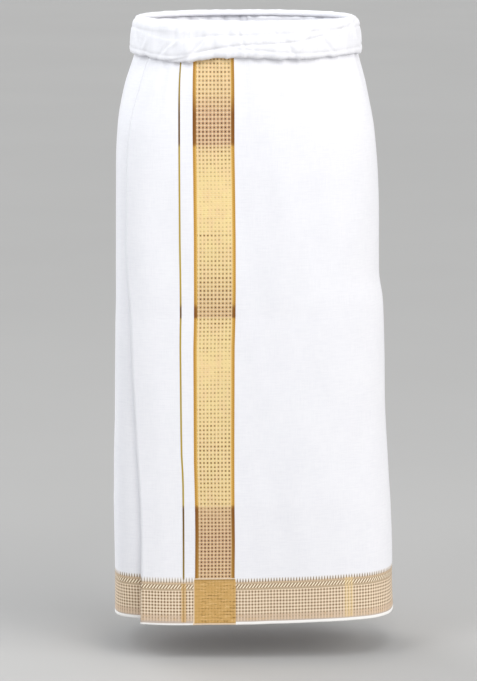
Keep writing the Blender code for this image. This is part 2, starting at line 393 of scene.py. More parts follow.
def drape(direction, height, above_hem):
    """How far the cloth stands out from the solids' face, from its tucks, drapes and pressing."""
    out = np.zeros_like(height)
    roll_foot = ROLL_OUTLINE[0][1]
    for middle, half_width, rise, reach_down, lean in TUCKS:
        below = (roll_foot - height) / reach_down
        widening = half_width * (1.0 + TUCK_WIDENING * np.clip(below, 0.0, TUCK_WIDEST_AT))
        away = turned_from(direction, middle + lean * (roll_foot - height))
        out += rise * bump(away, widening) * (1.0 - eased(below))
    for middle, half_width, rise, top, foot, lean in DRAPES:
        grown = eased((top - height) / DRAPE_SWELLS_IN)
        grown = grown * eased((height - foot) / DRAPE_DIES_OUT)
        away = turned_from(direction, middle + lean * (top - height))
        out += rise * bump(away, half_width) * grown
    right, left = read_table(SIDE_EASE, height)
    out += right * bump(turned_from(direction, 0.0), EASE_WIDTH)
    out += left * bump(turned_from(direction, 180.0), EASE_WIDTH)
    angle = np.radians(direction)
    pressed = PRESSED_AT_SIDES + (1.0 - PRESSED_AT_SIDES) * np.sin(angle) ** 2
    for line, rise, half_height in PRESSED_LINES:
        rounded = np.hypot(height - line, PRESSED_ROUNDING)
        out += rise * pressed * np.exp(-rounded / half_height)
    for round_it, up_it, shift, rise in SLOW_WAVES:
        out += rise * np.sin(round_it * angle + 2.0 * math.pi * up_it * height + shift)
    out += SELVEDGE_RISE * (1.0 - eased(above_hem / SELVEDGE_HEIGHT - 0.5))
    down = (TOP_Z - height) / (TOP_Z - HEM_Z)
    settled = SETTLING_AT_TOP + (SETTLING_AT_HEM - SETTLING_AT_TOP) * down
    from_edge = direction - direction[:, :1]
    out -= settled * (1.0 - eased(from_edge / SETTLING_WIDTH))
    return out


def even_directions(start, end, step):
    """Directions from start to end at even steps along the hem."""
    fine = np.linspace(start, end, FINE_STEPS)
    measured = lengths_along(worn(fine, np.full(fine.shape, HEM_Z))[None], axis=1)[0]
    count = round(measured[-1] / step)
    return np.interp(np.linspace(0.0, measured[-1], count + 1), measured, fine)


def row_shares():
    """Rows as shares of the way from the hem to the top."""
    heights, last = [0.0], 0.0
    for stop, count in ROW_STOPS:
        heights += [last + (stop - last) * (i + 1) / count for i in range(count)]
        last = stop
    return np.array(heights) / last


def grid_faces(rows, columns):
    """Faces of a grid of points that is numbered row by row, wound to face outwards."""
    return [
        (r * columns + c, r * columns + c + 1, (r + 1) * columns + c + 1, (r + 1) * columns + c)
        for r in range(rows - 1)
        for c in range(columns - 1)
    ]


def cloth_object(name, points, faces, cloth_places):
    """A mesh object from points and faces, with its UV map of places on the cloth, in metres."""
    mesh = bpy.data.meshes.new(name)
    mesh.from_pydata(points.tolist(), [], faces)
    places = mesh.uv_layers.new(name="cloth")
    places.data.foreach_set("uv", cloth_places.astype(np.float32).ravel())
    mesh.shade_smooth()
    thing = bpy.data.objects.new(name, mesh)
    bpy.context.scene.collection.objects.link(thing)
    return thing


def apply_modifiers(thing):
    """Applies a piece's modifiers, in order."""
    bpy.ops.object.select_all(action="DESELECT")
    thing.select_set(True)
    bpy.context.view_layer.objects.active = thing
    for modifier in list(thing.modifiers):
        bpy.ops.object.modifier_apply(modifier=modifier.name)


def wind_cloth():
    """The hanging cloth: one sheet from the free edge, once round and on under itself."""
    shown = even_directions(START, HIDDEN_FROM, COLUMN_STEP)
    hidden = even_directions(HIDDEN_FROM, END, HIDDEN_COLUMN_STEP)
    columns = np.concatenate([shown, hidden[1:]])
    shares = row_shares()
    hem = read_table(HEM_LINE, columns)[0]
    height = hem + (TOP_Z - hem) * shares[:, None]
    above_hem = height - hem
    level = height[:, 0]
    edge = direction_across(read_table(FREE_EDGE, level)[0], level)
    fade = 1.0 - np.clip((columns - START) / (RIGHT_SEAM - START), 0.0, 1.0)
    direction = columns + (edge - START)[:, None] * fade**LEAVES_EDGE
    smooth = worn(direction, height)
    points = smooth + outward(smooth) * drape(direction, height, above_hem)[..., None]

    band = direction_across(BAND_MIDDLE_X, level)
    length = lengths_along(points, axis=1)
    at_band = np.array([np.interp(band[r], direction[r], length[r]) for r in range(len(level))])
    from_band = length - at_band[:, None]
    faces = grid_faces(*height.shape)
    corners = np.array(faces)
    places = np.stack([from_band.ravel()[corners], above_hem.ravel()[corners]], axis=-1)
    cloth = cloth_object("worn_cloth", points.reshape(-1, 3), faces, places)
    wall = cloth.modifiers.new("wall", "SOLIDIFY")
    wall.thickness = CLOTH_WALL
    wall.offset = -1.0
    apply_modifiers(cloth)
    return cloth


# The waist roll: how finely it is divided, its slanting lines, creases and slow twists
ROLL_COLUMNS = 600
ROLL_ROUND = 84
ROLL_LINES = (
    # share of the outline, once_round, depth, half_width, waver, waves_a_turn, shift
    (0.150, 0.0, 0.0013, 0.018, 0.020, 3.0, 0.5),
    (0.345, 0.0, 0.0014, 0.017, 0.026, 2.0, 2.1),
    (0.520, 0.0, 0.0010, 0.016, 0.018, 4.0, 4.4),
    (0.050, 1.0, 0.0019, 0.016, 0.030, 3.0, 1.1),
    (0.560, 1.0, 0.0017, 0.015, 0.024, 2.0, 3.7),
)
ROLL_CREASES = (
    # direction, share of the outline, span, lean, rise, half_width
    (219.0, 0.20, 0.13, 40.0, -0.0016, 1.3),
    (227.0, 0.31, 0.11, 55.0, 0.0016, 1.5),
    (238.0, 0.21, 0.12, 48.0, -0.0019, 1.4),
    (247.0, 0.36, 0.10, 30.0, -0.0013, 1.2),
    (258.0, 0.17, 0.11, 20.0, 0.0015, 1.7),
    (266.0, 0.30, 0.13, -24.0, -0.0016, 1.5),
    (279.0, 0.24, 0.12, 22.0, 0.0014, 1.8),
    (288.0, 0.38, 0.09, -32.0, -0.0014, 1.3),
    (299.0, 0.19, 0.12, -28.0, -0.0019, 1.5),
    (309.0, 0.31, 0.13, 35.0, 0.0016, 1.6),
    (322.0, 0.21, 0.11, -42.0, -0.0018, 1.3),
    (334.0, 0.36, 0.11, 26.0, -0.0014, 1.6),
    (347.0, 0.19, 0.13, -30.0, 0.0017, 1.9),
    (358.0, 0.30, 0.12, 34.0, -0.0018, 1.7),
    (12.0, 0.22, 0.12, -26.0, -0.0015, 1.6),
    (25.0, 0.35, 0.11, 38.0, 0.0017, 1.8),
    (37.0, 0.18, 0.13, -34.0, -0.0019, 1.7),
    (49.0, 0.29, 0.10, 28.0, -0.0014, 1.5),
    (60.0, 0.23, 0.13, -38.0, 0.0018, 2.0),
    (73.0, 0.34, 0.12, 32.0, -0.0018, 1.8),
    (86.0, 0.20, 0.11, -24.0, -0.0016, 1.9),
    (99.0, 0.28, 0.13, 40.0, 0.0018, 2.1),
    (112.0, 0.37, 0.10, -30.0, -0.0015, 1.6),
    (125.0, 0.21, 0.12, 26.0, -0.0019, 1.8),
    (139.0, 0.31, 0.12, -36.0, 0.0016, 1.8),
    (152.0, 0.20, 0.13, 30.0, -0.0017, 1.7),
    (166.0, 0.34, 0.11, -28.0, -0.0015, 1.6),
    (180.0, 0.24, 0.12, 36.0, 0.0016, 1.8),
    (194.0, 0.33, 0.11, -32.0, -0.0016, 1.5),
    (206.0, 0.22, 0.12, 24.0, 0.0014, 1.6),
)
ROLL_TWISTS = (
    # waves_a_turn, waves_round, shift, rise
    (6.0, 0.0, 0.9, 0.00050),
    (31.0, 1.0, 0.3, 0.00050),
    (43.0, -1.0, 1.7, 0.00036),
    (19.0, 2.0, 4.1, 0.00050),
    (67.0, 1.0, 2.9, 0.00020),
    (89.0, -2.0, 5.5, 0.00013),
)
TWIST_SWING = 0.9
TWIST_SWINGS_A_TURN = 3.0
LAP_AT = 232.0
LAP_LEAN = 26.0
LAP_LEVEL = 0.3
LAP_RISE = 0.0016
LAP_STEP = 1.2
LAP_REACH = 30.0
HIDDEN_RELIEF = 0.25
RELIEF_FROM = 0.0010
RELIEF_GROWS_OVER = 0.0040
ROLL_GIRTH = 1.07
ROLL_WRAP = 0.13
CURVE_STEPS = 24


def closed_curve(points, count):
    """Evenly spaced points on a smooth closed curve through the given ones."""
    points = np.array(points)
    here, before = points, np.roll(points, 1, axis=0)
    after, beyond = np.roll(points, -1, axis=0), np.roll(points, -2, axis=0)
    t = np.linspace(0.0, 1.0, CURVE_STEPS, endpoint=False)[:, None, None]
    slope_here, slope_after = (after - before) / 2.0, (beyond - here) / 2.0
    fine = smooth_between(here, after, slope_here, slope_after, t)
    fine = np.moveaxis(fine, 0, 1).reshape(-1, 2)
    fine = np.concatenate([fine, fine[:1]])
    measured = lengths_along(fine[None], axis=1)[0]
    at = np.linspace(0.0, measured[-1], count, endpoint=False)
    return np.stack([np.interp(at, measured, fine[:, i]) for i in range(2)], axis=-1)


def roll_relief(share, direction):
    """How far the rolled cloth stands out or sinks, from its lines, creases and twists."""
    angle = np.radians(direction)
    turned = (direction - START) / TURN
    relief = np.zeros(np.broadcast(share, direction).shape)
    for place, once_round, depth, half_width, waver, waves, shift in ROLL_LINES:
        line = place + once_round * turned + waver * np.sin(waves * angle + shift)
        away = (share - line + 0.5) % 1.0 - 0.5
        relief -= depth * np.exp(-np.abs(away) / half_width)
    for middle, place, span, lean, rise, half_width in ROLL_CREASES:
        away = turned_from(direction, middle + lean * (share - place))
        relief += rise * bump(away, half_width) * bump(share - place, span)
    for round_it, round_roll, shift, rise in ROLL_TWISTS:
        swing = TWIST_SWING * np.sin(TWIST_SWINGS_A_TURN * angle + shift)
        phase = round_it * angle + 2.0 * math.pi * round_roll * share + shift + swing
        relief += rise * np.sin(phase)
    lap = turned_from(direction, LAP_AT + LAP_LEAN * (share - LAP_LEVEL))
    return relief + LAP_RISE * eased(lap / LAP_STEP) * (1.0 - eased(lap / LAP_REACH))


def roll_waist():
    """The rolled top: its outline carried round the cloth, with its lines and wrinkles."""
    outline = closed_curve(ROLL_OUTLINE, ROLL_ROUND)
    direction = START + TURN * np.arange(ROLL_COLUMNS) / ROLL_COLUMNS
    thicker, lower = np.zeros(ROLL_COLUMNS), np.zeros(ROLL_COLUMNS)
    for middle, half_width, more, down in ROLL_SWELLS:
        share = bump(turned_from(direction, middle), half_width)
        thicker += more * share
        lower += down * share
    out = np.repeat(outline[:, :1], ROLL_COLUMNS, axis=1)
    height = np.repeat(outline[:, 1:], ROLL_COLUMNS, axis=1)
    out = np.where(out > 0.0, out * (1.0 + thicker), out)
    lowering = lower * np.clip(out / FULLY_LOWERED_OUT, 0.0, 1.0)
    height = np.where(height < 0.0, height - lowering, height)

    # The hidden side, against the cloth, keeps only a part of the relief
    relief = roll_relief(np.arange(ROLL_ROUND)[:, None] / ROLL_ROUND, direction)
    shows = eased((out - RELIEF_FROM) / RELIEF_GROWS_OVER)
    relief *= HIDDEN_RELIEF + (1.0 - HIDDEN_RELIEF) * shows
    section = np.stack([out, height], axis=-1)
    around = np.roll(section, -1, axis=0) - np.roll(section, 1, axis=0)
    side = np.stack([around[..., 1], -around[..., 0]], axis=-1)
    side /= np.linalg.norm(side, axis=-1, keepdims=True)
    out, height = np.moveaxis(section + side * relief[..., None], -1, 0)
    distance = reach(np.broadcast_to(direction, out.shape), height) + out
    angle = np.radians(direction)
    points = np.stack([distance * np.cos(angle), distance * np.sin(angle), height], axis=-1)

    faces, places = [], []
    for s in range(ROLL_ROUND):
        for c in range(ROLL_COLUMNS):
            corners = ((s, c), (s, c + 1), (s + 1, c + 1), (s + 1, c))
            faces.append([i % ROLL_ROUND * ROLL_COLUMNS + j % ROLL_COLUMNS for i, j in corners])
            for i, j in corners:
                places.append((ROLL_GIRTH * j / ROLL_COLUMNS, ROLL_WRAP * i / ROLL_ROUND))
    return cloth_object("rolled_waist", points.reshape(-1, 3), faces, np.array(places))


# Half the width over which one woven tone turns into the next
WOVEN_EDGE = 0.0002

# Where a Mix node for colours has its sockets
MIX_SHARE = 0
MIX_FIRST = 6
MIX_SECOND = 7
MIX_RESULT = 2


class Reading:
    """A number that varies over a surface, used with the ordinary operators."""

    def __init__(self, finish, socket):
        self.finish = finish
        self.socket = socket

    def maths(self, operation, *others, clamp=False):
        settings = {"operation": operation, "use_clamp": clamp}
        return self.finish.add("ShaderNodeMath", settings, self, *others)["Value"]

    def __add__(self, other):
        return self.maths("ADD", other)

    __radd__ = __add__

    def __sub__(self, other):
        return self.maths("SUBTRACT", other)

    def __rsub__(self, other):
        return self.finish.add("ShaderNodeMath", {"operation": "SUBTRACT"}, other, self)["Value"]

    def __mul__(self, other):
        return self.maths("MULTIPLY", other)

    __rmul__ = __mul__

    def __truediv__(self, other):
        return self.maths("DIVIDE", other)

    def __neg__(self):
        return self.maths("MULTIPLY", -1.0)

    def __abs__(self):
        return self.maths("ABSOLUTE")

    def cosine(self):
        return self.maths("COSINE")

    def lesser(self, other):
        return self.maths("MINIMUM", other)

    def held(self):
        """The reading held between 0 and 1."""
        return self.maths("ADD", 0.0, clamp=True)

    def rises(self, low, high):
        """0 below low and 1 above high."""
        return self.maths("SUBTRACT", low).maths("DIVIDE", high - low, clamp=True)

    def above(self, level, soft=WOVEN_EDGE):
        """0 below a level and 1 above it, with a soft edge."""
        return self.rises(level - soft, level + soft)

    def within(self, low, high, soft=WOVEN_EDGE):
        """1 between low and high, with soft edges."""
        return self.above(low, soft) * (1.0 - self.above(high, soft))


class Finish:
    """A fabric's material, built node by node."""

    def __init__(self, name):
        self.material = bpy.data.materials.new(name)
        self.material.use_nodes = True
        self.tree = self.material.node_tree
        self.shader = self.tree.nodes["Principled BSDF"]
        places = self.add("ShaderNodeUVMap", {"uv_map": "cloth"})["UV"]
        parts = self.add("ShaderNodeSeparateXYZ", {}, places)
        self.along, self.up = parts["X"], parts["Y"]

    def give(self, socket, value):
        """Links a reading into a socket, or sets a constant on it."""
        if isinstance(value, Reading):
            self.tree.links.new(value.socket, socket)
        else:
            socket.default_value = value

    def add(self, kind, settings=None, *ordered, **named):
        """A node by its type, its settings, and the values or readings of its sockets."""
        node = self.tree.nodes.new(kind)
        for name, value in (settings or {}).items():
            if name == "stops":
                self.set_stops(node.color_ramp, value)
            else:
                setattr(node, name, value)
        for name, value in [*enumerate(ordered), *named.items()]:
            self.give(node.inputs[name], value)
        return {socket.name: Reading(self, socket) for socket in node.outputs if socket.enabled}

    @staticmethod
    def set_stops(ramp, stops):
        """Gives a ramp its stops, each a place and a grey level."""
        while len(ramp.elements) < len(stops):
            ramp.elements.new(0.5)
        for element, (place, level) in zip(ramp.elements, stops):
            element.position = place
            element.color = (level, level, level, 1.0)

    def mixed(self, first, second, share):
        """A colour between two, by a share that varies over the surface."""
        node = self.tree.nodes.new("ShaderNodeMix")
        node.data_type = "RGBA"
        for place, value in ((MIX_SHARE, share), (MIX_FIRST, first), (MIX_SECOND, second)):
            self.give(node.inputs[place], (*value, 1.0) if isinstance(value, tuple) else value)
        return Reading(self, node.outputs[MIX_RESULT])

    def noise(self, at, scale, detail):
        """Soft noise from 0 to 1 at a place vector."""
        made = self.add("ShaderNodeTexNoise", {}, Vector=at, Scale=scale, Detail=detail)
        return made[next(name for name in made if name in ("Factor", "Fac"))]

    def unevenness(self, along_size, up_size, detail=2.0):
        """Soft noise from 0 to 1, whose patches have the given sizes in metres."""
        along, up = self.along / along_size, self.up / up_size
        at = self.add("ShaderNodeCombineXYZ", {}, along, up, 0.0)["Vector"]
        return self.noise(at, 1.0, detail)

    def by_height(self, table, largest=1.0):
        """What a table of heights above the hem gives for each place on the cloth."""
        stops = [(height / CHART_TOP, value / largest) for height, value in table]
        chart = self.add("ShaderNodeValToRGB", {"stops": stops}, self.up / CHART_TOP)
        return chart["Color"] * largest

    def stripes(self, reading, pitch, shift=0.0):
        """A cosine from -1 to 1 that repeats every pitch."""
        return ((reading - shift) * (2.0 * math.pi / pitch)).cosine()

    def done(self, colour, roughness, height, depth, **others):
        """Gives the surface its colour, roughness and relief, and what else it is given."""
        bump_node = self.add("ShaderNodeBump", {}, Strength=1.0, Distance=depth, Height=height)
        given = {"Base Color": colour, "Roughness": roughness, "Normal": bump_node["Normal"]}
        given.update((name.replace("_", " "), value) for name, value in others.items())
        for name, value in given.items():
            self.give(self.shader.inputs[name], value)
        return self.material


def screen_colour(red, green, blue):
    """A colour given as 0 to 255 on a screen, as the shader's linear values."""
    return tuple(
        c / 12.92 if c <= 0.04045 else ((c + 0.055) / 1.055) ** 2.4
        for c in (red / 255.0, green / 255.0, blue / 255.0)
    )


WHITE_COTTON = (0.926, 0.922, 0.954)
SHADED_COTTON = (0.862, 0.860, 0.902)
SELVEDGE_WHITE = (0.975, 0.960, 0.930)

TAN = screen_colour(216, 190, 158)
CREAM = screen_colour(250, 232, 208)
COMB_CREAM = screen_colour(250, 240, 224)
LINE_TAN = screen_colour(196, 172, 142)
RIB_TAN = screen_colour(206, 180, 152)
RIB_CREAM = screen_colour(230, 206, 180)
DOT_BROWN = screen_colour(112, 82, 54)
TICK_BROWN = screen_colour(128, 98, 66)
STROKE_BROWN = screen_colour(144, 110, 70)
STROKE_WHITE = screen_colour(255, 240, 214)
BORDER_GOLD = screen_colour(212, 168, 98)
BORDER_GOLD_DARK = screen_colour(138, 100, 36)
BORDER_GOLD_PALE = screen_colour(244, 208, 150)
CROSSING_GOLD = screen_colour(216, 172, 98)
CROSSING_DARK = screen_colour(150, 112, 50)
# The gold of a painted highlight where the border's zari catches the light
PAINTED_GLINT_GOLD = screen_colour(244, 212, 146)
FOOT_GREY = screen_colour(196, 180, 168)
# The band's colours. Each lit colour and its dull partner are lit and shaded copies of one zari,
# mixed by the painted shine up the height: painted reflection and painted shade
BAND_PAINTED_LIT = screen_colour(255, 231, 167)
BAND_PAINTED_SHADE = screen_colour(217, 177, 142)
BAND_PINK = screen_colour(252, 212, 170)
BAND_PICK = screen_colour(232, 186, 92)
BAND_SPECK = screen_colour(255, 240, 206)
BAND_DOT_PAINTED_LIT = screen_colour(128, 88, 34)
BAND_DOT_PAINTED_SHADE = screen_colour(88, 52, 24)
BAND_EDGE_PAINTED_LIT = screen_colour(214, 162, 64)
BAND_EDGE_INNER = screen_colour(250, 208, 118)
BAND_EDGE_PAINTED_SHADE_AND_FLECKS = screen_colour(130, 76, 4)
STRIPE_PAINTED_LIT = screen_colour(192, 166, 62)
STRIPE_PAINTED_SHADE = screen_colour(104, 72, 10)

# Heights of the border's zones above the hem, and how far apart its threads and dots are
SELVEDGE_LEFT = 0.0029
SELVEDGE_RIGHT = 0.0046
RIBS_TOP = 0.0192
DOTS_TOP = 0.0553
FINE_LINE_TOP = 0.0585
STROKES_TOP = 0.0648
UPPER_LINE_TOP = 0.0664
COMB_FOOT_TOP = 0.0685
COMB_TOP = 0.0752
COMB_LONGER = 0.28
SQUARE_TOP = 0.0731
DOT_PITCH = 0.00488
DOT_PITCH_UP = 0.00512
DOT_ROW_AT = 0.0319
RIB_PITCH = 0.00488
STROKE_PITCH = 0.00488
STROKE_SLANT = 0.75
TOOTH_PITCH = 0.0044
# How far apart the lines in the painted highlight down the border are
PAINTED_GLINT_PITCH = 0.0048

# The upright band: how far it goes to either side of its middle, and its edge lines and dots
CHART_TOP = 0.9300
BAND_LEFT = (
    # height above the hem, distance
    (0.000, 0.0338),
    (0.071, 0.0328),
    (0.076, 0.0306),
    (0.145, 0.0301),
    (0.180, 0.0303),
    (0.225, 0.0311),
    (0.260, 0.0320),
    (0.438, 0.0324),
    (0.463, 0.0318),
    (0.487, 0.0313),
    (0.603, 0.0312),
    (0.698, 0.0319),
    (0.770, 0.0327),
    (0.930, 0.0327),
)
BAND_RIGHT = (
    # height above the hem, distance
    (0.000, 0.0328),
    (0.071, 0.0326),
    (0.076, 0.0310),
    (0.131, 0.0315),
    (0.180, 0.0310),
    (0.270, 0.0307),
    (0.367, 0.0310),
    (0.438, 0.0312),
    (0.461, 0.0318),
    (0.487, 0.0325),
    (0.530, 0.0329),
    (0.603, 0.0328),
    (0.650, 0.0323),
    (0.698, 0.0317),
    (0.745, 0.0310),
    (0.930, 0.0307),
)
BAND_REACH = 0.0400
BAND_EDGE = 0.0056
BAND_COLUMNS = 11.26
BAND_COLUMN_AT = 0.515
BAND_ROW_PITCH = 0.00646
BAND_ROW_DRIFT = (
    # height above the hem, rows
    (0.190, 0.00),
    (0.300, 0.02),
    (0.340, -0.08),
    (0.425, -0.05),
    (0.445, 0.12),
    (0.465, 0.18),
    (0.505, 0.36),
    (0.545, 0.30),
    (0.585, 0.16),
    (0.645, 0.07),
    (0.705, 0.03),
    (0.725, 0.11),
    (0.745, 0.22),
    (0.765, 0.48),
    (0.930, 0.60),
)
LOW_ROW_PITCH = 0.00573
LOW_ROW_AT = 0.0033
PITCH_CHANGES_AT = 0.1893
# How much of the band's dots shows up its height: painted reflection, the dots painted faint where
# the zari's painted shine washes them out
BAND_DOTS_LEFT_BY_PAINTED_GLARE = (
    # height above the hem, level
    (0.078, 1.00),
    (0.140, 1.00),
    (0.170, 0.84),
    (0.205, 0.68),
    (0.240, 0.86),
    (0.275, 0.86),
    (0.310, 0.70),
    (0.345, 0.50),
    (0.380, 0.44),
    (0.412, 0.16),
    (0.440, 0.42),
    (0.470, 0.75),
    (0.487, 0.78),
    (0.517, 0.92),
    (0.552, 0.78),
    (0.585, 0.62),
    (0.620, 0.34),
    (0.655, 0.12),
    (0.692, 0.20),
    (0.728, 0.60),
    (0.750, 0.85),
    (0.765, 1.00),
    (0.800, 0.85),
    (0.930, 0.60),
)
MARKED_ROWS = (
    # height above the hem, level: single rows of dots that show darker
    (0.2790, 0.00),
    (0.2818, 0.45),
    (0.2846, 0.00),
    (0.3370, 0.00),
    (0.3399, 0.60),
    (0.3428, 0.00),
    (0.3756, 0.00),
    (0.3786, 0.60),
    (0.3816, 0.00),
    (0.4340, 0.00),
    (0.4370, 0.80),
    (0.4400, 0.00),
    (0.6110, 0.00),
    (0.6142, 0.90),
    (0.6174, 0.00),
)
STRIPE_HALF = 0.0013
STRIPE_REACH = 0.0600
STRIPE_PLACES = (
    # height above the hem, distance from the band's middle
    (0.000, 0.0484),
    (0.160, 0.0483),
    (0.222, 0.0487),
    (0.244, 0.0494),
    (0.270, 0.0508),
    (0.300, 0.0513),
    (0.355, 0.0518),
    (0.440, 0.0523),
    (0.470, 0.0520),
    (0.490, 0.0515),
    (0.550, 0.0519),
    (0.600, 0.0526),
    (0.800, 0.0533),
    (0.930, 0.0535),
)
# Where the painted highlight runs down the border, along the cloth from the band's middle, and
# half its width
PAINTED_GLINT_AT = 0.2108
PAINTED_GLINT_HALF = 0.0072

# How brightly the zari takes the light up its height, as seen between the pressed lines, painted
# into its colour:
# painted reflection from painted shade at 0 to painted shine at 1, and the dark stretch from about
# 0.75 to 0.83 is painted shade
PAINTED_SHINE = (
    # height above the hem, level
    (0.000, 0.45),
    (0.085, 0.08),
    (0.135, 0.02),
    (0.1885, 0.22),
    (0.1900, 0.80),
    (0.2430, 0.82),
    (0.2900, 0.84),
    (0.3530, 0.90),
    (0.4480, 0.92),
    (0.4640, 0.88),
    (0.4840, 0.80),
    (0.4855, 0.26),
    (0.5000, 0.32),
    (0.5270, 0.52),
    (0.5580, 0.80),
    (0.5900, 0.90),
    (0.6180, 0.95),
    (0.6880, 0.95),
    (0.7050, 0.90),
    (0.7350, 0.78),
    (0.7490, 0.50),
    (0.7535, 0.04),
    (0.8000, 0.00),
    (0.8300, 0.50),
    (0.9300, 0.60),
)
# How brightly the band's edge lines and the stripe take the light up their height: painted
# reflection, from painted shade at 0 to painted shine at 1
EDGE_LINES_PAINTED_LIT = (
    # height above the hem, level
    (0.078, 0.36),
    (0.115, 0.26),
    (0.150, 0.12),
    (0.1885, 0.02),
    (0.1900, 0.85),
    (0.4840, 0.85),
    (0.4855, 0.02),
    (0.5020, 0.10),
    (0.5070, 0.75),
    (0.5500, 0.95),
    (0.7490, 0.85),
    (0.7530, 0.05),
    (0.8000, 0.00),
    (0.8300, 0.55),
    (0.9300, 0.65),
)


# In the finishes, a size is in metres along and up the cloth, a span runs from where a tone begins
# to where it is full, and a share is how much of it shows. The cotton:
WARP_SIZE = (0.0011, 0.026)
WEFT_SIZE = (0.030, 0.0013)
SLUB_SIZE = (0.012, 0.0030)
SLOW_SIZE = (0.050, 0.070)
THREADS_VARY = 2.6
SLUBS_VARY = 0.9
SLOW_VARIES = 0.9
MEAN_TONE = 0.66
COTTON_ROUGHNESS = 0.82
COTTON_RELIEF = 0.00012
SHEEN_ROUGHNESS = 0.45


def cotton_weave(finish):
    """Cotton's colour and relief: fine uneven threads both ways and slow patches."""
    warp = finish.unevenness(*WARP_SIZE)
    weft = finish.unevenness(*WEFT_SIZE)
    slubs = finish.unevenness(*SLUB_SIZE)
    slow = finish.unevenness(*SLOW_SIZE, detail=3.0)
    threads = (warp + weft) * 0.5
    uneven = (threads - 0.5) * THREADS_VARY + (slubs - 0.5) * SLUBS_VARY
    uneven = uneven + (slow - 0.5) * SLOW_VARIES
    return finish.mixed(SHADED_COTTON, WHITE_COTTON, (uneven + MEAN_TONE).held()), threads


def plain_cotton():
    """The roll's finish: starched white cotton without borders."""
    finish = Finish("white_cotton")
    colour, threads = cotton_weave(finish)
    return finish.done(
        colour,
        COTTON_ROUGHNESS,
        threads,
        COTTON_RELIEF,
        Sheen_Weight=0.12,
        Sheen_Roughness=SHEEN_ROUGHNESS,
    )


# The border
BAND_PASSED = (-0.035, 0.035)
BORDER_PATCH_SIZE = (0.0060, 0.0060)
DOTS_VARY = 1.2
DOT_SPAN = (0.60, 1.50)
DOTS_BEGIN_ABOVE = 0.0010
DOTS_PALER = 0.12
LATTICE_WIDTH = 0.7
LATTICE_SHARE = 0.22
LATTICE_SPAN = (-1.2, 0.4)
RIB_SPAN = (-0.8, 0.8)
GOLD_SPAN = (0.5, 0.8)
GOLD_SHARE = 0.35
GROUND_SPAN = (-0.20, 1.35)
RIBS_END_OVER = 0.0040
STROKE_SPAN = (-0.55, 0.45)
COMB_TINT = 0.80
COMB_FOOT_SPAN = (UPPER_LINE_TOP + 0.0010, COMB_FOOT_TOP + 0.0012)
TEETH_NARROW = 0.7
TEETH_SPAN = (-0.25, 0.45)
TEETH_FADE_ABOVE = 0.0035
TEETH_SHARE = 0.70
TEETH_DARKER = 0.22
# The painted highlight down the border, where its zari catches the light
PAINTED_GLINT_SOFT = 0.0022
PAINTED_GLINT_ENDS_OVER = 0.0020
PAINTED_GLINT_SPAN = (-0.4, 0.9)
PAINTED_GLINT_SHARE = 0.22
PAINTED_GLINT_LINES_SHARE = 0.34
SELVEDGE_SOFT = 0.0003
FOOT_SPAN = (0.0056, 0.0074)
FOOT_SHARE = 0.85


